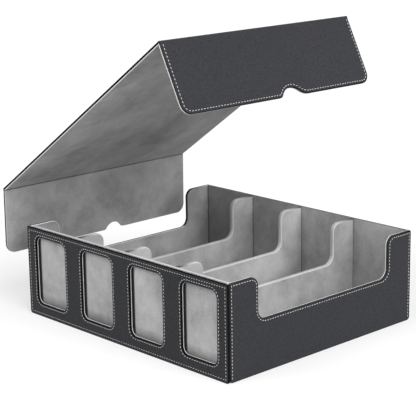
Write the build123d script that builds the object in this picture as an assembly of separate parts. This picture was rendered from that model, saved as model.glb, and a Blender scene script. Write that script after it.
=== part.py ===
from build123d import *
import math
import os

# Trading card storage box: a lined tray with four lanes, a front panel with four
# card windows and a card slot behind it, and a lift-off lid of three hinged panels.
# Millimetres. X runs along the window panel, Y from the windows to the back, Z up.
# The origin is the middle of the tray's underside. The lid is drawn lifted off and
# open, as photographed.

# Sheet materials
leather = 0.9            # artificial leather skin
suede = 0.8              # microfibre lining
edge_bevel = 0.7         # bevel of a wrapped leather edge
lining_bevel = 0.7       # bevel of a divider's wrapped edge

# Tray, overall
tray_width = 340.0
tray_depth = 293.4
tray_height = 107.3
lane_count = 4
wall_board = 2.7         # board in the side and back walls
base_board = 3.0
divider_board = 4.0
foot_corner = 3.5        # rounded lower corner of an outer panel
top_corner = 1.5         # rounded upper corner of an outer panel

# Hand dip, shared by both side walls and all dividers
dip_front = 44.5         # from the tray's front face
dip_back = 252.7
dip_height = 59.0        # above the underside
dip_top_round = 10.5
dip_foot_round = 11.5

# Front: window panel, card slot and inner wall
panel_board = 1.3
slot_gap = 2.4
inner_board = 1.6
window_width = 54.0
window_height = 81.0
window_foot = 16.1       # lower edge of a window above the underside
window_corner = 8.5
window_bevel = 0.5
spacer_width = 7.0
spacer_drop = 8.0        # spacers stop this far under the rim

# Lid
lid_board = 1.9
lid_depth = 288.7        # along Y
fold_span = 350.0        # from one fold's axis to the other's
flap_drop = 80.0         # from a fold's axis to the flap's free edge
flap_corner = 12.0
notch_radius = 15.0
notch_depth = 8.3
notch_round = 4.5
front_notch_offset = 16.0    # towards the back, from the middle of the lid
rear_notch_offset = 22.5
fold_gap = 0.3           # between a rolled fold and the panels beside it
fold_slack = 3.0         # degrees that a panel's mitre leaves free at a closed fold
tightest_fold = 81.6     # smallest angle between two panels

# Lid as photographed, lifted off and open
fold_left_of_tray = 46.3     # rear fold's axis, left of the tray's left face
fold_height = 143.4
top_tilt = 34.95
rear_flap_lean = 0.65    # free edge out of the vertical, away from the tray
front_flap_lean = 26.6
lid_seat_gap = 0.6       # between the shut lid and the tray's rim

# Magnets, flat bars sealed in the boards
magnet_length = 20.0     # along Y
magnet_width = 8.0
flap_magnet_thick = 1.2
wall_magnet_thick = 1.5
magnet_edge = 14.0       # centre to the flap's free edge
magnet_spread = 200.0    # between the two of a flap
magnet_fit = 0.1

# Worked out from the sizes above
half_width = tray_width / 2
front_y = -tray_depth / 2
back_y = tray_depth / 2
wall_skin = leather + wall_board
wall_thick = wall_skin + suede
inner_half = half_width - wall_thick
divider_thick = divider_board + 2 * suede
floor_z = leather + base_board + suede
panel_skin = leather + panel_board
panel_back_y = front_y + panel_skin + suede
inner_wall_thick = inner_board + 2 * suede
inner_wall_y = panel_back_y + slot_gap
lane_front_y = inner_wall_y + inner_wall_thick
side_back_y = back_y - leather
back_board_y = side_back_y - wall_board
lane_back_y = back_board_y - suede
lane_width = (2 * inner_half - (lane_count - 1) * divider_thick) / lane_count
lane_pitch = lane_width + divider_thick
lid_skin = leather + lid_board
lid_thick = lid_skin + suede
half_lid = lid_thick / 2
fold_bore = half_lid + fold_gap

shut_fold_z = tray_height + lid_seat_gap + half_lid
magnet_z = shut_fold_z - (flap_drop - magnet_edge)


def divider_x(index):
    """Middle of a divider, counted from zero at the left."""
    return (index - (lane_count - 2) / 2) * lane_pitch


def corner_at(sketch, x, y):
    """The corner of a sketch nearest a point."""
    return sketch.vertices().sort_by_distance((x, y, 0))[0]


def dipped_outline(front, back, foot, inset=0.0, foot_round=0.0, end_round=0.0):
    """Side view of a wall in Y and Z, with the hand dip in its top edge."""
    top = tray_height - inset
    dip_a = front_y + dip_front - inset
    dip_b = front_y + dip_back + inset
    dip_z = dip_height - inset
    points = [(front, foot), (back, foot), (back, top), (dip_b, top), (dip_b, dip_z),
              (dip_a, dip_z), (dip_a, top), (front, top)]
    outline = make_face(Polyline(*points, close=True))
    rounds = [(dip_b, top, dip_top_round - inset), (dip_a, top, dip_top_round - inset),
              (dip_b, dip_z, dip_foot_round + inset), (dip_a, dip_z, dip_foot_round + inset),
              (front, foot, foot_round), (back, foot, foot_round),
              (front, top, end_round), (back, top, end_round)]
    for x, y, radius in rounds:
        if radius > 0:
            outline = fillet(corner_at(outline, x, y), radius)
    return outline


def along_x(outline, start, thick):
    """A side view in Y and Z, given its thickness along +X."""
    return extrude(Plane.YZ.offset(start) * outline, amount=thick)


def along_y(outline, start, thick):
    """A front view in X and Z, given its thickness along +Y."""
    return extrude(Plane.XZ.offset(-start) * outline, amount=-thick)


def bevel_face_rim(solid, axis, position, length):
    """Bevel every edge of the flat face that lies at a place along an axis."""
    flats = solid.faces().filter_by(axis)
    rim = flats.sort_by(lambda face: abs(face.center().dot(axis.direction) - position))[0]
    return chamfer(rim.edges(), length)


def slab(x0, x1, y0, y1, z0, z1):
    """A plain sheet or board between two corners."""
    return Pos((x0 + x1) / 2, (y0 + y1) / 2, (z0 + z1) / 2) * Box(x1 - x0, y1 - y0, z1 - z0)


def wall_magnets(start, fit=0.0):
    """The two magnets of a side wall, or with a fit the pockets for them."""
    bar = Rectangle(magnet_length + 2 * fit, magnet_width + 2 * fit)
    pair = [along_x(Pos(side * magnet_spread / 2, magnet_z) * bar, start, wall_magnet_thick)
            for side in (-1, 1)]
    return Compound(children=pair)


def base_parts():
    """Underside leather, base board and floor lining, between the walls."""
    leather_sheet = slab(-inner_half, inner_half, panel_back_y, lane_back_y, 0, leather)
    board = slab(-inner_half, inner_half, panel_back_y, lane_back_y, leather, leather + base_board)
    lining = slab(-inner_half, inner_half, panel_back_y, lane_back_y, leather + base_board, floor_z)
    return {"base_cover": leather_sheet, "base_board": board, "floor_lining": lining}


def side_wall_parts(side, name):
    """A side wall: board wrapped in leather from outside, lined within, with magnets."""
    outer = dipped_outline(panel_back_y, side_back_y, 0, 0, foot_corner, top_corner)
    inner = dipped_outline(panel_back_y + leather, side_back_y - leather, leather, leather,
                           foot_corner - leather, top_corner - leather)
    cover = bevel_face_rim(along_x(outer, inner_half + suede, wall_skin), Axis.X, half_width, edge_bevel)
    board = along_x(inner, inner_half + suede, wall_board)
    cover = cover - board
    magnet_x = half_width - leather - wall_magnet_thick
    board = board - wall_magnets(magnet_x, magnet_fit)
    magnets = wall_magnets(magnet_x)
    lining = along_x(outer, inner_half, suede)
    parts = {f"{name}_cover": cover, f"{name}_board": board, f"{name}_lining": lining,
             f"{name}_magnets": magnets}
    if side < 0:
        parts = {node: mirror(shape, about=Plane.YZ) for node, shape in parts.items()}
    return parts


def back_wall_parts():
    """The back wall: its leather also covers the side walls' ends."""
    outline = Pos(0, tray_height / 2) * Rectangle(tray_width, tray_height)
    for x in (-half_width, half_width):
        outline = fillet(corner_at(outline, x, 0), foot_corner)
        outline = fillet(corner_at(outline, x, tray_height), top_corner)
    cover = bevel_face_rim(along_y(outline, side_back_y, leather), Axis.Y, back_y, edge_bevel)
    lip = slab(-inner_half, inner_half, back_board_y, side_back_y, tray_height - leather, tray_height)
    foot_lip = slab(-inner_half, inner_half, back_board_y, side_back_y, 0, leather)
    board = slab(-inner_half, inner_half, back_board_y, side_back_y, leather, tray_height - leather)
    lining = slab(-inner_half, inner_half, lane_back_y, back_board_y, 0, tray_height)
    return {"back_cover": cover + lip + foot_lip, "back_board": board, "back_lining": lining}


def window_holes(grow=0.0):
    """The four card windows in X and Z, evenly spaced about the middle."""
    middle = window_foot + window_height / 2
    hole = RectangleRounded(window_width + 2 * grow, window_height + 2 * grow, window_corner + grow)
    return [Pos((i - (lane_count - 1) / 2) * lane_pitch, middle) * hole for i in range(lane_count)]


def panel_outline(inset=0.0):
    """Front view of the window panel, with its windows cut out."""
    width = tray_width - 2 * inset
    height = tray_height - 2 * inset
    outline = Pos(0, tray_height / 2) * Rectangle(width, height)
    for x in (-width / 2, width / 2):
        outline = fillet(corner_at(outline, x, inset), foot_corner - inset)
        outline = fillet(corner_at(outline, x, tray_height - inset), top_corner - inset)
    for hole in window_holes(inset):
        outline = outline - hole
    return outline


def window_panel_parts():
    """The front panel: leather wrapped over a thin board and into each window."""
    cover = along_y(panel_outline(), front_y, panel_skin)
    cover = bevel_face_rim(cover, Axis.Y, front_y, window_bevel)
    board = along_y(panel_outline(leather), front_y + leather, panel_board)
    lining = along_y(panel_outline(), front_y + panel_skin, suede)
    return {"window_panel_cover": cover - board, "window_panel_board": board,
            "window_panel_lining": lining}


def inner_wall_parts():
    """The wall behind the card slot, lined on both sides, and the slot's spacers."""
    full = slab(-inner_half, inner_half, inner_wall_y, lane_front_y, floor_z, tray_height)
    board = slab(-inner_half, inner_half, inner_wall_y + suede, lane_front_y - suede,
                 floor_z, tray_height - suede)
    top_edges = full.edges().filter_by(Axis.X).group_by(Axis.Z)[-1]
    lining = chamfer(top_edges, lining_bevel) - board
    strips = []
    for i in range(lane_count - 1):
        x = divider_x(i)
        strips.append(slab(x - spacer_width / 2, x + spacer_width / 2, panel_back_y, inner_wall_y,
                           floor_z, tray_height - spacer_drop))
    return {"inner_wall_lining": lining, "inner_wall_board": board,
            "slot_spacers": Compound(children=strips)}


def divider_parts(index):
    """A lane divider: one board with the lining folded over its top edge."""
    middle = divider_x(index)
    left = middle - divider_thick / 2
    outer = along_x(dipped_outline(lane_front_y, lane_back_y, floor_z), left, divider_thick)
    board = along_x(dipped_outline(lane_front_y, lane_back_y, floor_z, suede),
                    left + suede, divider_board)
    top_edges = [edge for face in outer.faces().filter_by(Axis.X) for edge in face.edges()
                 if edge.center().Z > floor_z
                 and lane_front_y + suede < edge.center().Y < lane_back_y - suede]
    lining = chamfer(top_edges, lining_bevel) - board
    return {f"divider_{index + 1}_lining": lining, f"divider_{index + 1}_board": board}


def fold_cutter():
    """What a panel gives up at a fold: the rolled fold's bore and an inner mitre."""
    reach = 4 * half_lid
    mitre = math.radians(tightest_fold / 2 - fold_slack)
    drop = reach * math.tan(mitre)
    wedge = make_face(Polyline((0, 0), (reach, -drop), (-reach, -drop), (-reach, reach), (0, reach),
                               close=True))
    section = wedge + Circle(fold_bore)
    return extrude(Plane.XZ.offset(-lid_depth) * section, amount=2 * lid_depth)


def flap_outline(notch_offset, inset=0.0):
    """A flap lying flat: X from its fold to its free edge, Y along the fold."""
    drop = flap_drop - inset
    half = lid_depth / 2 - inset
    radius = notch_radius + inset
    centre = flap_drop - notch_depth + notch_radius
    outline = make_face(Polyline((0, -half), (drop, -half), (drop, half), (0, half), close=True))
    for y in (-half, half):
        outline = fillet(corner_at(outline, drop, y), flap_corner - inset)
    outline = outline - Pos(centre, notch_offset) * Circle(radius)
    reach = math.sqrt(radius ** 2 - (centre - drop) ** 2)
    for y in (notch_offset - reach, notch_offset + reach):
        outline = fillet(corner_at(outline, drop, y), notch_round - inset)
    return outline


def flap_magnets(fit=0.0):
    """The two magnets of a flap lying flat, or with a fit the pockets for them."""
    bar = Rectangle(magnet_width + 2 * fit, magnet_length + 2 * fit)
    pair = [extrude(Pos(flap_drop - magnet_edge, side * magnet_spread / 2, suede - half_lid) * bar,
                    amount=flap_magnet_thick) for side in (-1, 1)]
    return Compound(children=pair)


def bevel_free_rim(solid):
    """Bevel the leather's outer edges, apart from the one at the fold."""
    rim = solid.faces().filter_by(Axis.Z).sort_by(Axis.Z)[-1]
    return chamfer([edge for edge in rim.edges() if edge.center().X > half_lid], edge_bevel)


def flap_parts(name, notch_offset, place):
    """A flap: leather outside and round the edges, a board with magnets, a lining."""
    cutter = fold_cutter()
    skin = extrude(Pos(0, 0, suede - half_lid) * flap_outline(notch_offset), amount=lid_skin)
    skin = bevel_free_rim(skin)
    core = extrude(Pos(0, 0, suede - half_lid) * flap_outline(notch_offset, leather), amount=lid_board)
    cover = skin - core - cutter
    board = core - cutter - flap_magnets(magnet_fit)
    magnets = flap_magnets()
    lining = extrude(Pos(0, 0, -half_lid) * flap_outline(notch_offset), amount=suede) - cutter
    parts = {f"{name}_cover": cover, f"{name}_board": board, f"{name}_lining": lining,
             f"{name}_magnets": magnets}
    return {node: place * shape for node, shape in parts.items()}


def lid_top_parts(place):
    """The lid's top panel, between the two folds, and both rolled folds."""
    half = lid_depth / 2

    def sheet(low, thick, inset):
        return slab(0, fold_span, -half + inset, half - inset, low, low + thick)

    near = fold_cutter()
    far = Pos(fold_span, 0, 0) * mirror(near, about=Plane.YZ)
    skin = sheet(suede - half_lid, lid_skin, 0)
    long_edges = skin.edges().filter_by(Axis.X).group_by(Axis.Z)[-1]
    skin = chamfer(long_edges, edge_bevel)
    core = sheet(suede - half_lid, lid_board, leather)
    cover = skin - core - near - far
    board = core - near - far
    lining = sheet(-half_lid, suede, 0) - near - far
    roll = Rot(90, 0, 0) * Cylinder(half_lid, lid_depth)
    parts = {"lid_top_cover": cover, "lid_top_board": board, "lid_top_lining": lining,
             "rear_fold": roll, "front_fold": Pos(fold_span, 0, 0) * roll}
    return {node: place * shape for node, shape in parts.items()}


def lid_parts():
    """The whole lid, set as photographed, from its two fold axes outwards."""
    tilt = math.radians(top_tilt)
    rear_x = -half_width - fold_left_of_tray
    front_x = rear_x + fold_span * math.cos(tilt)
    front_z = fold_height + fold_span * math.sin(tilt)
    rear_lean = math.radians(rear_flap_lean)
    front_lean = math.radians(front_flap_lean)
    top_plane = Plane(origin=(rear_x, 0, fold_height), x_dir=(math.cos(tilt), 0, math.sin(tilt)),
                      z_dir=(-math.sin(tilt), 0, math.cos(tilt)))
    rear_plane = Plane(origin=(rear_x, 0, fold_height),
                       x_dir=(-math.sin(rear_lean), 0, -math.cos(rear_lean)),
                       z_dir=(-math.cos(rear_lean), 0, math.sin(rear_lean)))
    front_plane = Plane(origin=(front_x, 0, front_z),
                        x_dir=(math.sin(front_lean), 0, -math.cos(front_lean)),
                        z_dir=(math.cos(front_lean), 0, math.sin(front_lean)))
    parts = lid_top_parts(top_plane.location)
    parts.update(flap_parts("rear_flap", -rear_notch_offset, rear_plane.location))
    parts.update(flap_parts("front_flap", front_notch_offset, front_plane.location))
    return parts


def all_parts():
    """Every piece of the box, by name."""
    parts = base_parts()
    parts.update(side_wall_parts(-1, "left_wall"))
    parts.update(side_wall_parts(1, "right_wall"))
    parts.update(back_wall_parts())
    parts.update(window_panel_parts())
    parts.update(inner_wall_parts())
    for index in range(lane_count - 1):
        parts.update(divider_parts(index))
    parts.update(lid_parts())
    return parts


os.makedirs("parts", exist_ok=True)
for node, shape in all_parts().items():
    export_step(shape, f"parts/{node}.step")
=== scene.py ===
import math

import bmesh
import bpy
from mathutils import Matrix, Vector
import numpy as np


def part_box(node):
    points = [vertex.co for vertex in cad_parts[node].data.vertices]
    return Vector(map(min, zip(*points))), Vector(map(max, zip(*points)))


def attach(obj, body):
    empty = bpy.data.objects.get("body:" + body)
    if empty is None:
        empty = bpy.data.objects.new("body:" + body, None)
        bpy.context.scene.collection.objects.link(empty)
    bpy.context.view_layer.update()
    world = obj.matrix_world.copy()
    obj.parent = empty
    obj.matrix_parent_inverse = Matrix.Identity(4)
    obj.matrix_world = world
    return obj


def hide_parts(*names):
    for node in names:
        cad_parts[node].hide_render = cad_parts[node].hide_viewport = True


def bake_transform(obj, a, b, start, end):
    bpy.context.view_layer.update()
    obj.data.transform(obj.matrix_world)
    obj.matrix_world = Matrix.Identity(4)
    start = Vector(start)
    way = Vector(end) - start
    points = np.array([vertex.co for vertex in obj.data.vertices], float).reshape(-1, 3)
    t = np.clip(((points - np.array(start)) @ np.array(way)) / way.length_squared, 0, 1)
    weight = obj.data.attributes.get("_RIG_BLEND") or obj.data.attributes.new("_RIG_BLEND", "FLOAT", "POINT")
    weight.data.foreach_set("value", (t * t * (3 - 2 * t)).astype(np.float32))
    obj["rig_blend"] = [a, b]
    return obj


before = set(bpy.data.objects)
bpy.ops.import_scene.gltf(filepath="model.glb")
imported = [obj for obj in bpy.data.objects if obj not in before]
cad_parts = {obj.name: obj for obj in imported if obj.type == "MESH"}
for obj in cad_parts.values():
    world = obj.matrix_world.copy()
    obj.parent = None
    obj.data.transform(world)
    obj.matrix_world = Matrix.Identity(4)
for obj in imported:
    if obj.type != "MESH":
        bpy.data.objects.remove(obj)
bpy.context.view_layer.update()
mm = 0.001


# Boards. Every wall, divider and lid panel is stiffened by a sheet of greyboard, pressed
# from recycled paper and die-cut. It is glued between the skin and the lining and never seen.

fleck_size = 1.5 * mm


def linear(code):
    """An sRGB hex colour as the linear colour that a shader takes."""
    parts = [int(code[i:i + 2], 16) / 255 for i in (1, 3, 5)]
    return [c / 12.92 if c <= 0.04045 else ((c + 0.055) / 1.055) ** 2.4 for c in parts] + [1.0]


def add_node(tree, kind, settings, inputs):
    """Add a node with its settings, and its inputs as values or as other nodes' outputs."""
    node = tree.nodes.new(kind)
    for key, value in settings.items():
        setattr(node, key, value)
    for key, value in inputs.items():
        if isinstance(value, bpy.types.NodeSocket):
            tree.links.new(value, node.inputs[key])
        else:
            node.inputs[key].default_value = value
    return node


def new_material(name, settings):
    """A material with its shader, whose plain values are set on the shader itself."""
    material = bpy.data.materials.new(name)
    material.use_nodes = True
    shader = material.node_tree.nodes["Principled BSDF"]
    for key, value in settings.items():
        shader.inputs[key].default_value = value
    return material, material.node_tree, shader


def dress(nodes, material):
    """Give CAD nodes a finished material in place of their plain one."""
    for node in nodes:
        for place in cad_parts[node].material_slots:
            place.material = material


# Greyboard: dull warm grey with paler and darker paper flecks, no gloss at all.
greyboard, tree, shader = new_material("greyboard", {"Roughness": 0.92, "IOR": 1.45})
coords = add_node(tree, "ShaderNodeTexCoord", {}, {})
flecks = add_node(tree, "ShaderNodeTexNoise", {}, {
    "Vector": coords.outputs["Object"], "Scale": 1 / fleck_size, "Detail": 3.0})
paper = add_node(tree, "ShaderNodeMix", {"data_type": "RGBA"}, {
    0: flecks.outputs["Fac"], 6: linear("#77736c"), 7: linear("#96928a")})
tree.links.new(paper.outputs[2], shader.inputs["Base Color"])
dress(["base_board", "left_wall_board", "right_wall_board", "back_board", "window_panel_board",
       "inner_wall_board", "divider_1_board", "divider_2_board", "divider_3_board",
       "lid_top_board", "rear_flap_board", "front_flap_board"], greyboard)


# Magnets. Flat bars of neodymium, pressed and nickel plated, are let into the boards of the
# side walls and of the lid's flaps, so that the flaps stay shut.

scuff_size = 3 * mm

# Nickel plate: a bright, slightly warm metal, with faint scuffs in its gloss.
nickel, tree, shader = new_material("nickel_plate", {
    "Base Color": linear("#c9c5bb"), "Metallic": 1.0, "Roughness": 0.25})
coords = add_node(tree, "ShaderNodeTexCoord", {}, {})
scuffs = add_node(tree, "ShaderNodeTexNoise", {}, {
    "Vector": coords.outputs["Object"], "Scale": 1 / scuff_size, "Detail": 4.0})
gloss = add_node(tree, "ShaderNodeMapRange", {}, {
    "Value": scuffs.outputs["Fac"], "To Min": 0.18, "To Max": 0.34})
tree.links.new(gloss.outputs["Result"], shader.inputs["Roughness"])
dress(["left_wall_magnets", "right_wall_magnets", "rear_flap_magnets", "front_flap_magnets"],
      nickel)


# Lining. The inside is lined with grey microfibre suede, cut to each panel and glued down.
# Its short nap lies this way and that, so it looks clouded, with paler brushed patches.

cloud_size = 60 * mm
brush_width = 8 * mm
brush_length = 14 * mm
brush_turn = (0.5, 0.4, 0.6)     # the way that it was last brushed, in radians
nap_size = 1.3 * mm      # a real nap is ten times finer, and would not show at all
nap_depth = 0.15 * mm
brush_share = 0.25       # how strongly brushed patches show beside the clouds,
nap_share = 0.35         # and the nap itself

# Microfibre suede: matt mid grey, with a soft sheen where the nap stands against the light. Its
# paler colour along folded and cut edges is a painted highlight, where these catch the light, and
# its near black is painted shade, in creases and wherever corners, walls and the window panel keep
# light away. The rim attribute is 1 for the full painted highlight and -1 for the full painted shade.
suede, tree, shader = new_material("microfibre_suede", {
    "Roughness": 0.95, "IOR": 1.4, "Sheen Weight": 0.12, "Sheen Roughness": 0.4,
    "Sheen Tint": linear("#d8d8dc")})
coords = add_node(tree, "ShaderNodeTexCoord", {}, {})
clouds = add_node(tree, "ShaderNodeTexNoise", {}, {
    "Vector": coords.outputs["Object"], "Scale": 1 / cloud_size, "Detail": 4.0,
    "Roughness": 0.6, "Distortion": 0.25})
turned = add_node(tree, "ShaderNodeMapping", {}, {
    "Vector": coords.outputs["Object"], "Rotation": brush_turn,
    "Scale": (1 / brush_width, 1 / brush_length, 1 / brush_length)})
brushed = add_node(tree, "ShaderNodeTexNoise", {}, {
    "Vector": turned.outputs["Vector"], "Scale": 1.0, "Detail": 3.0, "Distortion": 0.5})
nap = add_node(tree, "ShaderNodeTexNoise", {}, {
    "Vector": coords.outputs["Object"], "Scale": 1 / nap_size, "Detail": 2.0})
patches = add_node(tree, "ShaderNodeMath", {"operation": "MULTIPLY_ADD"}, {
    0: brushed.outputs["Fac"], 1: brush_share, 2: clouds.outputs["Fac"]})
strands = add_node(tree, "ShaderNodeMath", {"operation": "MULTIPLY_ADD"}, {
    0: nap.outputs["Fac"], 1: nap_share, 2: patches.outputs[0]})
paleness = add_node(tree, "ShaderNodeMapRange", {}, {
    "Value": strands.outputs[0], "From Min": 0.58, "From Max": 1.02})
grey = add_node(tree, "ShaderNodeMix", {"data_type": "RGBA"}, {
    0: paleness.outputs["Result"], 6: linear("#8e8e8f"), 7: linear("#bcbcbc")})
on_rim = add_node(tree, "ShaderNodeAttribute", {"attribute_name": "rim"}, {})
# Painted highlight: pale where the rim attribute is above zero.
highlighted_grey = add_node(tree, "ShaderNodeMix", {"data_type": "RGBA"}, {
    0: on_rim.outputs["Fac"], 6: grey.outputs[2], 7: linear("#e2e2e2")})
# Painted shade: near black where the rim attribute is below zero.
shade_share = add_node(tree, "ShaderNodeMath", {"operation": "MULTIPLY"}, {
    0: on_rim.outputs["Fac"], 1: -1.0})
shaded_grey = add_node(tree, "ShaderNodeMix", {"data_type": "RGBA"}, {
    0: shade_share.outputs[0], 6: highlighted_grey.outputs[2], 7: linear("#222222")})
tree.links.new(shaded_grey.outputs[2], shader.inputs["Base Color"])
fur = add_node(tree, "ShaderNodeBump", {}, {
    "Strength": 0.5, "Distance": nap_depth, "Height": strands.outputs[0]})
tree.links.new(fur.outputs["Normal"], shader.inputs["Normal"])
dress(["floor_lining", "slot_spacers"], suede)


# Dividers. Three boards stand between the lanes. Each wears one piece of suede, folded over
# its top edge and down both faces, so that the edge is soft and round.

tray_width = 340.0
tray_depth = 293.4
tray_height = 107.3
leather_thick = 0.9
wall_board = 2.7
lining_thick = 0.8
panel_thick = 3.0
slot_gap = 2.4           # the cards behind the windows stand in it
inner_wall_thick = 3.2
divider_thick = 5.6
divider_round = 1.2
floor_z = 4.7
inner_half = tray_width / 2 - leather_thick - wall_board - lining_thick
panel_back = panel_thick - tray_depth / 2
lane_front = panel_back + slot_gap + inner_wall_thick
lane_back = tray_depth / 2 - leather_thick - wall_board - lining_thick
lane_count = 4
lane_pitch = (2 * inner_half + divider_thick) / lane_count
dip_front = 44.5 - tray_depth / 2       # the hand dip, measured from the front face
dip_back = 252.7 - tray_depth / 2
dip_height = 59.0
dip_top_round = 10.5
dip_foot_round = 11.5
fold_highlight = 0.6        # how strongly the painted highlight shows at a fold's two bends
edge_highlight = 0.25       # and along the narrow edge between these
rim_fade = 0.3           # the width in which the rim's colour ends on a flat face
least_round = 0.2
corner_steps = 8
closeness = 0.001        # points that are nearer than this are one point
slack = 0.01             # more than rounding moves a point, less than any detail


def outline_points(corners):
    """A flat outline in millimetres, rounded at its corners, each given as x, y and radius."""
    points = []
    for i, (x, y, radius) in enumerate(corners):
        corner = Vector((x, y))
        if radius == 0:
            points.append(corner)
            continue
        before = (Vector(corners[i - 1][:2]) - corner).normalized()
        after = (Vector(corners[(i + 1) % len(corners)][:2]) - corner).normalized()
        half = before.angle(after) / 2
        centre = corner + (before + after).normalized() * radius / math.sin(half)
        spoke = corner + before * radius / math.tan(half) - centre
        turn = math.copysign(math.pi - 2 * half, after.cross(before))
        points += [centre + Matrix.Rotation(turn * k / corner_steps, 2) @ spoke
                   for k in range(corner_steps + 1)]
    return points


def covered_board(outlines, profile):
    """A closed covering: each outline at a profile's steps, of inset, height and share of rim."""
    bm = bmesh.new()
    rim_share = bm.verts.layers.float.new("rim")
    first, last = [], []
    for outline in outlines:
        ring = [bm.verts.new((p.x, p.y, 0)) for p in outline_points(outline(profile[0][0]))]
        edges = [bm.edges.new((ring[i - 1], ring[i])) for i in range(len(ring))]
        first += edges
        for step, (inset, height, rim) in enumerate(profile):
            if step:
                grown = bmesh.ops.extrude_edge_only(bm, edges=edges)["geom"]
                fresh = {v for v in grown if isinstance(v, bmesh.types.BMVert)}
                ring = [next(e.other_vert(v) for e in v.link_edges if e.other_vert(v) in fresh)
                        for v in ring]
                edges = [bm.edges.get((ring[i - 1], ring[i])) for i in range(len(ring))]
            for vert, point in zip(ring, outline_points(outline(inset))):
                vert.co = (point.x, point.y, height)
                vert[rim_share] = rim
        last += edges
    for boundary in (first, last):
        if len(outlines) == 1:
            bmesh.ops.edgeloop_fill(bm, edges=boundary)
        else:
            bmesh.ops.triangle_fill(bm, edges=boundary, use_beauty=True)
    bmesh.ops.recalc_face_normals(bm, faces=bm.faces)
    return bm


def open_side(bm, axis, level):
    """Take away the faces that lie flat at a level along an axis."""
    flat = [face for face in bm.faces
            if all(abs(vert.co[axis] - level) < closeness for vert in face.verts)]
    bmesh.ops.delete(bm, geom=flat, context="FACES")


def axes_matrix(x_axis, y_axis, z_axis, origin):
    """The matrix whose columns are three axes and an origin."""
    columns = [x_axis, y_axis, z_axis, origin]
    return Matrix([[c[row] for c in columns] for row in range(3)] + [[0, 0, 0, 1]])


def place_at(origin, x_axis, y_axis, z_axis):
    """The matrix that sets a flat pattern in millimetres into the part's frame in metres."""
    return axes_matrix(*[Vector(column) * mm for column in (x_axis, y_axis, z_axis, origin)])


def finish_piece(name, bm, place, material, sharp=40):
    """Set a pattern in its place and make it an object, smooth apart from its sharp edges."""
    bmesh.ops.remove_doubles(bm, verts=bm.verts, dist=closeness)
    bmesh.ops.transform(bm, matrix=place, verts=bm.verts)
    if place.determinant() < 0:
        bmesh.ops.reverse_faces(bm, faces=bm.faces)
    for face in bm.faces:
        face.smooth = True
    for edge in bm.edges:
        edge.smooth = len(edge.link_faces) == 2 and edge.calc_face_angle() < math.radians(sharp)
    mesh = bpy.data.meshes.new(name)
    bm.to_mesh(mesh)
    bm.free()
    mesh.materials.append(material)
    piece = bpy.data.objects.new(name, mesh)
    bpy.context.scene.collection.objects.link(piece)
    return piece


def thicken(piece, thickness):
    """Give an open covering its thickness, inwards from the surface that shows."""
    skin = piece.modifiers.new("skin", "SOLIDIFY")
    skin.thickness = thickness * mm
    skin.offset = -1


def rounded_rim(radius, top, steps=4):
    """Steps of a profile that turn from an upright edge to a flat face, a quarter round."""
    angles = [math.pi / 2 * k / steps for k in range(steps + 1)]
    turn = [(radius * (1 - math.cos(a)), top - radius * (1 - math.sin(a)), 1) for a in angles]
    return turn + [(radius + rim_fade, top, 0)]


def folded_profile(radius, thick):
    """A lining folded over a board's edge, from one face to the other, its painted highlight strongest at
    its bends.
    """
    rim = []
    for inset, height, _ in rounded_rim(radius, thick)[:-1]:
        bend = 1 - abs(2 * inset / radius - 1)
        rim.append((inset, height, fold_highlight * bend + edge_highlight * (1 - inset / radius)))
    return [(inset, thick - height, share) for inset, height, share in reversed(rim)] + rim


def dipped(front, back, foot, foot_round, top_round):
    """The side view of a wall with its hand dip, as a function of the inset."""
    def corners(inset):
        low, top = dip_height - inset, tray_height - inset
        sill, foot_radius = foot, 0
        if foot_round:
            sill, foot_radius = foot + inset, max(foot_round - inset, least_round)
        top_radius = max(top_round - inset, least_round) if top_round else 0
        return [(front + inset, sill, foot_radius), (back - inset, sill, foot_radius),
                (back - inset, top, top_radius), (dip_back + inset, top, dip_top_round - inset),
                (dip_back + inset, low, dip_foot_round + inset),
                (dip_front - inset, low, dip_foot_round + inset),
                (dip_front - inset, top, dip_top_round - inset),
                (front + inset, top, top_radius)]
    return corners


for index in range(lane_count - 1):
    bm = covered_board([dipped(lane_front, lane_back, floor_z, 0, 0)],
                       folded_profile(divider_round, divider_thick))
    rim_share = bm.verts.layers.float["rim"]
    # Painted shade: the suede is near black at each end, where the divider meets the inner wall and the
    # back.
    clear_front, clear_back = lane_front + divider_round, lane_back - divider_round
    for vert in bm.verts:
        if not clear_front - slack < vert.co.x < clear_back + slack:
            vert[rim_share] = -1
    open_side(bm, 1, floor_z)
    left = (index + 1 - lane_count / 2) * lane_pitch - divider_thick / 2
    sleeve = finish_piece(f"divider_{index + 1}_suede", bm,
                          place_at((left, 0, 0), (0, 1, 0), (0, 0, 1), (1, 0, 0)), suede)
    thicken(sleeve, lining_thick)
    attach(sleeve, "tray")
    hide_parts(f"divider_{index + 1}_lining")


# Inner wall. Behind the card slot stands one more suede-covered board, which closes the lanes
# at the front and shows through the windows. Its top edge is folded over like the dividers'.

inner_wall_round = 1.0
window_width = 54.0
window_height = 81.0
window_foot = 16.1
window_top = window_foot + window_height
slot_reach = 1.5         # how far to the right the panel's painted shadow falls on it
slot_shade = 2.0         # how softly the shadow ends at the sides of a window
top_shade = 3.5          # under its top
foot_shade = 12.0        # and over its foot,
foot_dark = 0.55         # where it is fainter


def plain_wall(foot):
    """A wall between the side linings, as a function of the inset, which its top alone has."""
    def corners(inset):
        top = tray_height - inset
        return [(-inner_half, foot, 0), (inner_half, foot, 0),
                (inner_half, top, 0), (-inner_half, top, 0)]
    return corners


def cut_across(bm, axis, level):
    """Run a line of new points round a pattern at a level along an axis."""
    normal = Vector((0, 0, 0))
    normal[axis] = 1
    bmesh.ops.bisect_plane(bm, geom=bm.verts[:] + bm.edges[:] + bm.faces[:],
                           plane_co=normal * level, plane_no=normal)


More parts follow.
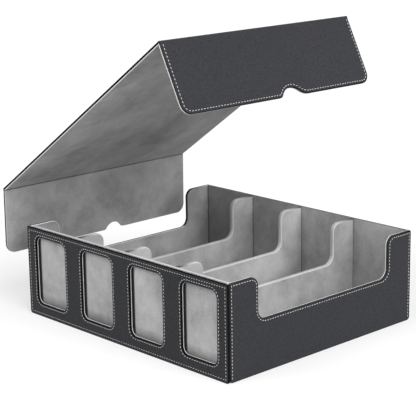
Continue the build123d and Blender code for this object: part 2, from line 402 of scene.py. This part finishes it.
bm = covered_board([plain_wall(floor_z)], folded_profile(inner_wall_round, inner_wall_thick))
for level in (window_foot, window_foot + foot_shade, window_top - top_shade, window_top):
    cut_across(bm, 1, level)
for index in range(lane_count):
    middle = (index - (lane_count - 1) / 2) * lane_pitch + slot_reach
    for side in (-1, 1):
        cut_across(bm, 0, middle + side * window_width / 2)
        cut_across(bm, 0, middle + side * window_width / 2 + slot_shade)
# Painted shadow: the suede's face is near black where the window panel hides it, beside and above each
# window, fading in at the window's edges, and more faintly darkened up from its foot.
rim_share = bm.verts.layers.float["rim"]
for vert in bm.verts:
    if abs(vert.co.z - inner_wall_thick) < closeness:
        from_middle = (vert.co.x - slot_reach) / lane_pitch % 1 * lane_pitch - lane_pitch / 2
        beside = not -window_width / 2 + slack < from_middle < window_width / 2 + slack
        if beside or vert.co.y > window_top - slack:
            vert[rim_share] = -1
        elif vert.co.y < window_foot + slack:
            vert[rim_share] = -foot_dark
open_side(bm, 0, -inner_half)
open_side(bm, 0, inner_half)
open_side(bm, 1, floor_z)
inner_wall = finish_piece("inner_wall_suede", bm,
                          place_at((0, lane_front, 0), (1, 0, 0), (0, 0, 1), (0, -1, 0)), suede)
thicken(inner_wall, lining_thick)
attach(inner_wall, "tray")
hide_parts("inner_wall_lining")


# Side walls. The outside is wrapped in black artificial leather, a knitted cloth coated with
# polyurethane and embossed with a fine grain, turned in over every board's edge and glued.
# Each side wall is lined with suede, which laps a little over the leather.

grain_size = 1.5 * mm    # a real grain is about 0.5 mm, too fine to show
grain_depth = 0.15 * mm
blotch_size = 45 * mm
leather_round = 1.0
lining_round = 0.4
seam_inset = 2.6
seam_width = 0.5
seam_depth = 0.15
wall_skin = leather_thick + wall_board
side_lap = 0.5
foot_corner = 3.5
top_corner = 1.5
faint_edge_dye = 0.35          # the edge dye is this faint over the front of each wall
dark_lining_edge = -0.6             # and the lining this much darker along the rest of that edge

# Polyurethane leather: near black with a little blue, semi-matt, its highlight broken up by the
# grain, whose pits are darker. Round the turned edges, which the rim attribute marks, it is
# painted with matt black edge dye; a small share of the same black lies over the window panel's
# face as painted shade.
pu_leather, tree, shader = new_material("pu_leather", {"IOR": 1.5, "Specular IOR Level": 0.15})
coords = add_node(tree, "ShaderNodeTexCoord", {}, {})
grain = add_node(tree, "ShaderNodeTexVoronoi", {"feature": "SMOOTH_F1"}, {
    "Vector": coords.outputs["Object"], "Scale": 1 / grain_size, "Smoothness": 0.4})
blotches = add_node(tree, "ShaderNodeTexNoise", {}, {
    "Vector": coords.outputs["Object"], "Scale": 1 / blotch_size, "Detail": 3.0})
black = add_node(tree, "ShaderNodeMix", {"data_type": "RGBA"}, {
    0: blotches.outputs["Fac"], 6: linear("#333437"), 7: linear("#3d3e42")})
pitted = add_node(tree, "ShaderNodeMix", {"data_type": "RGBA"}, {
    0: grain.outputs["Distance"], 6: black.outputs[2], 7: linear("#232327")})
dye = add_node(tree, "ShaderNodeAttribute", {"attribute_name": "rim"}, {})
dyed = add_node(tree, "ShaderNodeMix", {"data_type": "RGBA"}, {
    0: dye.outputs["Fac"], 6: pitted.outputs[2], 7: linear("#08080a")})
tree.links.new(dyed.outputs[2], shader.inputs["Base Color"])
gloss = add_node(tree, "ShaderNodeMapRange", {}, {
    "Value": blotches.outputs["Fac"], "From Min": 0.3, "From Max": 0.7,
    "To Min": 0.46, "To Max": 0.56})
matt = add_node(tree, "ShaderNodeMix", {"data_type": "FLOAT"}, {
    0: dye.outputs["Fac"], 2: gloss.outputs["Result"], 3: 0.95})
tree.links.new(matt.outputs[0], shader.inputs["Roughness"])
pebbles = add_node(tree, "ShaderNodeBump", {}, {
    "Strength": 0.8, "Distance": grain_depth, "Height": grain.outputs["Distance"]})
tree.links.new(pebbles.outputs["Normal"], shader.inputs["Normal"])
dress(["base_cover"], pu_leather)


def seamed_profile(thickness, foot=0, seam=seam_inset, face_shade=0):
    """A cover's edge: up the turned-in side, round the rim, and across the stitched groove."""
    turned_in = [(0, foot, 1)] + rounded_rim(leather_round, thickness)
    # The groove and the face past it may take a share of the edge's black, as painted shade.
    groove = [(seam - seam_width, thickness, face_shade), (seam, thickness - seam_depth, face_shade),
              (seam + seam_width, thickness, face_shade),
              (seam + 2 * seam_width, thickness, face_shade)]
    return turned_in + groove


def lining_profile(lap=0, spread=1):
    """A lining's rounded cut edge, from the lap that it may have over its board's edge."""
    # spread scales the painted highlight on the cut edge, and darkens the edge instead below zero.
    folded = [(leather_thick, 0, 0), (leather_thick, -lap, 0)] if lap else []
    cut = [(0, -lap, 1)] + rounded_rim(lining_round, lining_thick, steps=2)
    return folded + [(inset, height, spread * share) for inset, height, share in cut]


def fade_rim(bm, low, high, left_over):
    """Change how strongly the rim shows between two places along a pattern."""
    rim_share = bm.verts.layers.float["rim"]
    for vert in bm.verts:
        if low < vert.co.x < high:
            vert[rim_share] *= left_over


def fit_cover(name, bm, place, body):
    """One panel's leather, from a pattern that is open towards the board that it wraps."""
    cover = finish_piece(f"{name}_leather", bm, place, pu_leather)
    thicken(cover, leather_thick)
    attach(cover, body)
    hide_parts(f"{name}_cover")


def fit_lining(name, bm, place, body):
    """One panel's suede, glued to the back of its skinned board."""
    lining = finish_piece(f"{name}_suede", bm, place @ Matrix.Scale(-1, 4, (0, 0, 1)), suede)
    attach(lining, body)
    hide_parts(f"{name}_lining")


side_outline = dipped(panel_back, tray_depth / 2 - leather_thick, 0, foot_corner, top_corner)
skin_x = inner_half + lining_thick
# Inside and outside alike, each wall's pattern stands on the plane between skin and lining.
side_places = {"right_wall": place_at((skin_x, 0, 0), (0, 1, 0), (0, 0, 1), (1, 0, 0)),
               "left_wall": place_at((-skin_x, 0, 0), (0, 1, 0), (0, 0, 1), (-1, 0, 0))}
# The right wall's edge dye is faint as far as its back end, the left one's nearly to the dip's.
back_end = tray_depth / 2 - foot_corner
faint_dye_ends = {"right_wall": back_end, "left_wall": dip_back - dip_foot_round / 2}
for name, place in side_places.items():
    bm = covered_board([side_outline], seamed_profile(wall_skin, side_lap))
    open_side(bm, 2, side_lap)
    fade_rim(bm, panel_back - closeness, faint_dye_ends[name], faint_edge_dye)
    fit_cover(name, bm, place, "tray")
    bm = covered_board([side_outline], lining_profile(side_lap))
    fade_rim(bm, faint_dye_ends[name], back_end, dark_lining_edge)
    fit_lining(name, bm, place, "tray")


# Window panel. The front board is thin, with four card windows cut in it. The leather is
# wrapped round its edge and turned through each window.

panel_skin = panel_thick - lining_thick
panel_shade = 0.18         # painted shade: this share of the edges' black darkens the whole panel
panel_trim = 1.5
window_corner = 8.5
lining_proud = 0.4       # the lining peeps out of each window by this much


def upright_panel(inset):
    """The front or back panel, seen square on."""
    half = tray_width / 2 - inset
    foot = max(foot_corner - inset, least_round)
    top = max(top_corner - inset, least_round)
    return [(-half, inset, foot), (half, inset, foot),
            (half, tray_height - inset, top), (-half, tray_height - inset, top)]


def trimmed_panel(inset):
    """The panel's lining, which shows along the top and is trimmed back at the sides and foot."""
    half, top = tray_width / 2 - panel_trim, tray_height - inset
    return [(-half, panel_trim, 0), (half, panel_trim, 0), (half, top, 0), (-half, top, 0)]


def window(index, proud=0):
    """One window as a function of the inset, by which it grows, less what stands proud in it."""
    middle = (index - (lane_count - 1) / 2) * lane_pitch

    def corners(inset):
        grow = inset - proud
        half = window_width / 2 + grow
        low, high = window_foot - grow, window_top + grow
        radius = window_corner + grow
        return [(middle - half, low, radius), (middle + half, low, radius),
                (middle + half, high, radius), (middle - half, high, radius)]
    return corners


windows = [window(index) for index in range(lane_count)]
lined_windows = [window(index, lining_proud) for index in range(lane_count)]
panel_place = place_at((0, panel_back - lining_thick, 0), (1, 0, 0), (0, 0, 1), (0, -1, 0))
bm = covered_board([upright_panel] + windows, seamed_profile(panel_skin, face_shade=panel_shade))
open_side(bm, 2, 0)
fit_cover("window_panel", bm, panel_place, "tray")
bm = covered_board([trimmed_panel] + lined_windows, lining_profile())
fit_lining("window_panel", bm, panel_place, "tray")


# Back panel. A plain board behind the lanes, whose leather also covers the side walls' ends
# and is turned in over the top between them.

back_edge_tone = -0.3        # its top edge is a little darker than the others
corner_shade = 2.5       # how far painted shade darkens it beside the side walls
back_place = place_at((0, tray_depth / 2 - leather_thick, 0), (-1, 0, 0), (0, 0, 1), (0, 1, 0))
dress(["back_cover"], pu_leather)
bm = covered_board([plain_wall(0)], lining_profile(spread=back_edge_tone))
for side in (-1, 1):
    cut_across(bm, 0, side * (inner_half - corner_shade))
# Painted shade: the lining is near black at its ends, in the corners with the side walls.
rim_share = bm.verts.layers.float["rim"]
for vert in bm.verts:
    if abs(vert.co.x) > inner_half - closeness:
        vert[rim_share] = -1
fit_lining("back", bm,
           place_at((0, lane_back + lining_thick, 0), (-1, 0, 0), (0, 0, 1), (0, 1, 0)), "tray")


# Seams of the tray. Thick pale grey polyester thread is lock-stitched through leather and
# lining, just inside each edge, after the skin is glued.

stitch_pitch = 3.8
stitch_length = 2.0
stitch_width = 0.7
stitch_height = 0.7
stitch_bevel = 0.16      # of its length, width and height alike
stitch_slant = math.radians(5)
stitch_sunk = 0.15       # the window panel's stitches are drawn in a little
panel_seam_inset = 4.0
ply_width = 0.3 * mm

# Bonded polyester thread: pale grey with a little silk to it, and darker between its plies.
thread, tree, shader = new_material("polyester_thread", {
    "Roughness": 0.6, "IOR": 1.5, "Sheen Weight": 0.2})
coords = add_node(tree, "ShaderNodeTexCoord", {}, {})
plies = add_node(tree, "ShaderNodeTexNoise", {}, {
    "Vector": coords.outputs["Object"], "Scale": 1 / ply_width, "Detail": 1.0})
pale = add_node(tree, "ShaderNodeMix", {"data_type": "RGBA"}, {
    0: plies.outputs["Fac"], 6: linear("#b6b6b8"), 7: linear("#e0e0de")})
tree.links.new(pale.outputs[2], shader.inputs["Base Color"])

# One stitch is a short six-sided rod with bevelled ends, made one unit long and wide.
one_stitch = bpy.data.meshes.new("one_stitch")
bm = bmesh.new()
bmesh.ops.create_cone(bm, cap_ends=True, segments=6, radius1=0.5, radius2=0.5, depth=1)
ends = [edge for edge in bm.edges if abs(sum(vert.co.z for vert in edge.verts)) > closeness]
bmesh.ops.bevel(bm, geom=ends, offset=stitch_bevel, offset_type="OFFSET", segments=1,
                profile=0.5, affect="EDGES", material=-1)
bmesh.ops.rotate(bm, verts=bm.verts, matrix=Matrix.Rotation(math.pi / 2, 3, "Y"))
bmesh.ops.scale(bm, verts=bm.verts, vec=(stitch_length, stitch_width, stitch_height))
bm.to_mesh(one_stitch)
bm.free()


def sew(name, paths, height, place, body, pitch=stitch_pitch):
    """One panel's stitches, set along paths of points that lie at the leather's surface."""
    bm = bmesh.new()
    stretch = Matrix.Scale(pitch / stitch_pitch, 4, (1, 0, 0))
    for path in paths:
        lengths = [(b - a).length for a, b in zip(path, path[1:])]
        count = round(sum(lengths) / pitch)
        step = sum(lengths) / count
        run, start = 0, 0.0
        for k in range(count):
            reach = (k + 0.5) * step
            while reach > start + lengths[run]:
                start += lengths[run]
                run += 1
            heading = (path[run + 1] - path[run]).normalized()
            spot = path[run] + heading * (reach - start)
            turn = Matrix.Rotation(math.atan2(heading.y, heading.x) + stitch_slant, 4, "Z")
            stitch = one_stitch.copy()
            stitch.transform(Matrix.Translation((spot.x, spot.y, height)) @ turn @ stretch)
            bm.from_mesh(stitch)
            bpy.data.meshes.remove(stitch)
    seam = finish_piece(f"{name}_stitches", bm, place, thread, sharp=180)
    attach(seam, body)


def closed_path(corners):
    """A seam's path that comes back to its start."""
    points = outline_points(corners)
    return points + points[:1]


# A side's seam leaves out the foot, between its first two rounded corners.
points = outline_points(side_outline(seam_inset))
up_and_over = points[2 * corner_steps + 1:] + points[:1]
for name, place in side_places.items():
    sew(name, [up_and_over], wall_skin, place, "tray")
panel_seams = [upright_panel(panel_seam_inset)] + [outline(seam_inset) for outline in windows]
sew("window_panel", [closed_path(corners) for corners in panel_seams],
    panel_skin - stitch_sunk, panel_place, "tray")
sew("back", [closed_path(upright_panel(seam_inset))], leather_thick, back_place, "tray")


# Lid panels. The lid is three boards in one leather skin: a top, and two flaps that hang from
# it and hold to the side walls. Each flap has rounded corners and a thumb notch.

lid_skin = 2.8
half_lid = (lid_skin + lining_thick) / 2
lid_board = lid_skin - leather_thick
lid_depth = 288.7
fold_span = 350.0
flap_drop = 80.0
flap_corner = 12.0
lid_seam = 3.2
mitre = math.radians(37.8)      # the boards' slanted cut beside a fold
rear_lean = math.radians(0.65)  # how far each flap hangs off the vertical
front_lean = math.radians(26.6)


def middle_of(node):
    """The middle of a CAD node, in millimetres."""
    return sum(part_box(node), Vector()) / 2 / mm


rear_axis, front_axis = middle_of("rear_fold"), middle_of("front_fold")
lid_axes = {"lid_top": rear_axis, "rear_flap": rear_axis, "front_flap": front_axis}
along = {"lid_top": (front_axis - rear_axis).normalized(),
         "rear_flap": Vector((-math.sin(rear_lean), 0, -math.cos(rear_lean))),
         "front_flap": Vector((math.sin(front_lean), 0, -math.cos(front_lean)))}
across = {"lid_top": Vector((0, 1, 0)), "rear_flap": Vector((0, -1, 0)),
          "front_flap": Vector((0, 1, 0))}
outward = {name: along[name].cross(across[name]) for name in along}
# Where each panel ends in a fold, and which way it faces there.
lid_ends = {"lid_top": [(0, -1), (fold_span, 1)], "rear_flap": [(0, -1)],
            "front_flap": [(0, -1)]}
# How far each panel's lining laps over its edge, how black the edge dye is at the panel's
# front end, and how strongly the lining's painted highlight shows along its cut edge.
lid_edges = {"lid_top": (0, 1, 1), "rear_flap": (0, 1, 0.2), "front_flap": (0.8, 0.3, 1)}


def lid_top(inset):
    """The top panel lying flat, from fold to fold, inset along its long edges only."""
    half = lid_depth / 2 - inset
    return [(0, -half, 0), (fold_span, -half, 0), (fold_span, half, 0), (0, half, 0)]


def flap(offset, bowl_radius, depth, brows):
    """A flap lying flat, with its fold at the left, as a function of the inset.

    Its thumb notch is a bowl that runs out through a brow on each side into the free edge.
    """
    reaches = [bowl_radius + brow for brow in brows]
    leads = [bowl_radius - depth + brow for brow in brows]
    slopes = [math.acos(lead / reach) for lead, reach in zip(leads, reaches)]
    skew, spread = (slopes[1] - slopes[0]) / 2, (slopes[1] + slopes[0]) / 2

    def corners(inset):
        half, free = lid_depth / 2 - inset, flap_drop - inset
        bowl = bowl_radius + inset
        near, far = [math.sqrt(reach ** 2 - lead ** 2) - (brow - inset) * math.tan(slope / 2)
                     for reach, lead, brow, slope in zip(reaches, leads, brows, slopes)]
        stretch = bowl / math.cos(spread)
        deep = flap_drop + bowl_radius - depth - stretch * math.cos(skew)
        return [(0, -half, 0), (free, -half, flap_corner - inset),
                (free, offset - near, brows[0] - inset),
                (deep, offset + stretch * math.sin(skew), bowl),
                (free, offset + far, brows[1] - inset),
                (free, half, flap_corner - inset), (0, half, 0)]
    return corners


def lid_place(name):
    """Where a lid panel's flat pattern goes, with height zero between skin and lining."""
    seat = lid_axes[name] + outward[name] * (half_lid - lid_skin)
    return place_at(seat, along[name], across[name], outward[name])


def mitre_ends(bm, name, middle, side):
    """Lean a lid panel's ends back beside its folds, on the inner side of its middle."""
    for level, way in lid_ends[name]:
        for vert in bm.verts:
            depth = side * (vert.co.z - middle)
            if abs(vert.co.x - level) < closeness and depth > 0:
                vert.co.x -= way * depth / math.tan(mitre)


# The front flap's notch is a little deeper, and runs out gently towards the back.
lid_outlines = {"lid_top": lid_top,
                "rear_flap": flap(offset=-22.5, bowl_radius=15.0, depth=8.3, brows=(4.5, 4.5)),
                "front_flap": flap(offset=16.0, bowl_radius=17.5, depth=9.8, brows=(4.5, 22.0))}
for name, outline in lid_outlines.items():
    lap, front_dye, spread = lid_edges[name]
    bm = covered_board([outline], seamed_profile(lid_skin, lap, lid_seam))
    rim_share = bm.verts.layers.float["rim"]
    # The edge dye blackens from the panel's front end to its back end, where its full black is partly
    # painted shade, on the side turned from the lamps.
    for vert in bm.verts:
        vert[rim_share] *= front_dye + (1 - front_dye) * (0.5 + vert.co.y / lid_depth)
    open_side(bm, 2, lap)
    for level, _ in lid_ends[name]:
        open_side(bm, 0, level)
    mitre_ends(bm, name, lid_skin - half_lid, -1)
    fit_cover(name, bm, lid_place(name), name)
    bm = covered_board([outline], lining_profile(lap, spread))
    mitre_ends(bm, name, half_lid - lid_skin, 1)
    fit_lining(name, bm, lid_place(name), name)

# The front flap's board follows its notch.
bm = covered_board([lid_outlines["front_flap"]],
                   [(leather_thick, 0, 0), (leather_thick, lid_board, 0)])
mitre_ends(bm, "front_flap", lid_skin - half_lid, -1)
board = finish_piece("front_flap_greyboard", bm, lid_place("front_flap"), greyboard)
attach(board, "front_flap")
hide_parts("front_flap_board")


# Folds. The leather runs on from panel to panel over each fold and turns as the lid opens,
# and inside it the suede lies in a crease.

fold_steps = 12
crease_reach = 2.35      # how far the suede in a fold lies along each panel
crease_depth = 0.8


def fold_piece(name, flap_name, material, section, shares, spun=0):
    """A strip of fold, extruded along it from its section, which may first be spun round it."""
    bm = bmesh.new()
    axis = lid_axes[flap_name]
    rim_share = bm.verts.layers.float.new("rim")
    verts = [bm.verts.new(axis + point) for point in section]
    for vert, share in zip(verts, shares):
        vert[rim_share] = share
    if spun:
        edge = bm.edges.new(verts)
        bmesh.ops.spin(bm, geom=verts + [edge], cent=axis, axis=(0, 1, 0), angle=spun,
                       steps=fold_steps)
        bmesh.ops.remove_doubles(bm, verts=bm.verts, dist=closeness)
    else:
        bm.faces.new(verts)
    bmesh.ops.translate(bm, verts=bm.verts, vec=(0, -lid_depth / 2, 0))
    grown = bmesh.ops.extrude_face_region(bm, geom=bm.faces[:], use_keep_orig=True)["geom"]
    bmesh.ops.translate(bm, verts=[v for v in grown if isinstance(v, bmesh.types.BMVert)],
                        vec=(0, lid_depth, 0))
    bmesh.ops.recalc_face_normals(bm, faces=bm.faces)
    piece = finish_piece(name, bm, Matrix.Scale(mm, 4), material)
    return piece


for name in ("rear", "front"):
    flap_name = f"{name}_flap"
    axis = lid_axes[flap_name]
    inwards = -along["lid_top"] if name == "front" else along["lid_top"]
    first, last = outward["lid_top"] * half_lid, outward[flap_name] * half_lid
    spun = math.copysign(first.angle(last), first.cross(last).y)
    bend = fold_piece(f"{name}_fold_leather", flap_name, pu_leather,
                      [Vector(), first], shares=[0, 0], spun=spun)
    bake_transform(bend, "lid_top", flap_name, start=(axis + first) * mm, end=(axis + last) * mm)
    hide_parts(f"{name}_fold")
    near = inwards * crease_reach - first
    far = along[flap_name] * crease_reach - last
    middle = (inwards + along[flap_name]).normalized()
    half_turn = inwards.angle(along[flap_name]) / 2
    crease = middle * (half_lid / math.sin(half_turn) - crease_depth)
    # Painted shade: the suede is near black along the crease's deepest line.
    lining = fold_piece(f"{name}_fold_suede", flap_name, suede,
                        [Vector(), near, crease, far], shares=[0, 0, -1, 0])
    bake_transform(lining, "lid_top", flap_name, start=(axis + near) * mm, end=(axis + far) * mm)


# Seams of the lid. The same thread runs along the top's long edges and round each flap,
# in slightly longer stitches.

lid_pitch = 4.15
seam_start = 2.0         # how far from its end each seam starts

for name, outline in lid_outlines.items():
    points = outline_points(outline(lid_seam))
    paths = [points[:2], points[2:]] if name == "lid_top" else [points]
    for path in paths:
        for end, beside in ((0, 1), (-1, -2)):
            path[end] = path[end] + (path[beside] - path[end]).normalized() * seam_start
    sew(name, paths, lid_skin, lid_place(name), name, pitch=lid_pitch)
bpy.data.meshes.remove(one_stitch)


# Camera. It stands to the right of the front corner, a little above the box, with a long lens,
# and leans a little to one side.

camera_place = Vector((1.1611, -1.1001, 0.5338))
azimuth = math.radians(46.88)
tilt_down = math.radians(14.12)
roll = math.radians(-0.87)
focal_pixels = 1423.6
image_side = 416         # in pixels
sensor_width = 36        # in millimetres

sight = Vector((-math.sin(azimuth) * math.cos(tilt_down),
                math.cos(azimuth) * math.cos(tilt_down), -math.sin(tilt_down)))
right = Vector((math.cos(azimuth), math.sin(azimuth), 0))
above = right.cross(sight)
turned_right = math.cos(roll) * right + math.sin(roll) * above
turned_above = -math.sin(roll) * right + math.cos(roll) * above
lens = bpy.data.cameras.new("camera")
lens.sensor_width = sensor_width
lens.lens = focal_pixels * sensor_width / image_side
camera = bpy.data.objects.new("camera", lens)
bpy.context.scene.collection.objects.link(camera)
camera.matrix_world = axes_matrix(turned_right, turned_above, -sight, camera_place)
bpy.context.scene.camera = camera


# Studio. A wide floor of white paper, an even white surround and two large soft lamps, one in
# front of the windows and one to the right.

floor_half = 9.0         # in metres
floor_glow = 0.45        # lifts the paper to white, but for the shadow of the box
surround_seen = 1.0      # pure white behind the box
surround_cast = 0.36     # its strength as a light on the box

floor_mesh = bpy.data.meshes.new("floor")
bm = bmesh.new()
bmesh.ops.create_grid(bm, x_segments=1, y_segments=1, size=floor_half)
bm.to_mesh(floor_mesh)
bm.free()
floor = bpy.data.objects.new("floor", floor_mesh)
bpy.context.scene.collection.objects.link(floor)


def seen_share(tree):
    """1 for what the camera sees, straight on or in a reflection or glass, and otherwise 0."""
    rays = add_node(tree, "ShaderNodeLightPath", {}, {})
    seen = rays.outputs["Is Camera Ray"]
    for kind in ("Is Glossy Ray", "Is Transmission Ray"):
        either = add_node(tree, "ShaderNodeMath", {"operation": "MAXIMUM"}, {
            0: seen, 1: rays.outputs[kind]})
        seen = either.outputs[0]
    return seen


# Matt white paper: no gloss, and a faint shadow where the box stands on it.
paper_white, tree, shader = new_material("studio_paper", {
    "Roughness": 1.0, "Specular IOR Level": 0.0, "Emission Color": (1, 1, 1, 1)})
seen = seen_share(tree)
lift = add_node(tree, "ShaderNodeMath", {"operation": "MULTIPLY"}, {0: seen, 1: floor_glow})
tree.links.new(lift.outputs[0], shader.inputs["Emission Strength"])
sheet = add_node(tree, "ShaderNodeMix", {"data_type": "RGBA"}, {
    0: seen, 6: linear("#c4c4c4"), 7: linear("#bcbcbc")})
tree.links.new(sheet.outputs[2], shader.inputs["Base Color"])
floor_mesh.materials.append(paper_white)

world = bpy.data.worlds.new("studio")
world.use_nodes = True
bpy.context.scene.world = world
background = world.node_tree.nodes["Background"]
background.inputs["Color"].default_value = (1, 1, 1, 1)
strength = add_node(world.node_tree, "ShaderNodeMapRange", {}, {
    "Value": seen_share(world.node_tree), "To Min": surround_cast, "To Max": surround_seen})
world.node_tree.links.new(strength.outputs["Result"], background.inputs["Strength"])

# Each lamp's direction from the box, its strength, and how many degrees wide it looks.
lamps = {"front_lamp": ((-0.2, -0.75, 0.63), 1.25, 36),
         "side_lamp": ((0.75, -0.15, 0.64), 3.0, 60)}
for name, (direction, energy, breadth) in lamps.items():
    light = bpy.data.lights.new(name, "SUN")
    light.energy = energy
    light.angle = math.radians(breadth)
    lamp = bpy.data.objects.new(name, light)
    bpy.context.scene.collection.objects.link(lamp)
    lamp.rotation_euler = Vector(direction).to_track_quat("Z", "Y").to_euler()

bpy.context.scene.view_settings.view_transform = "Standard"
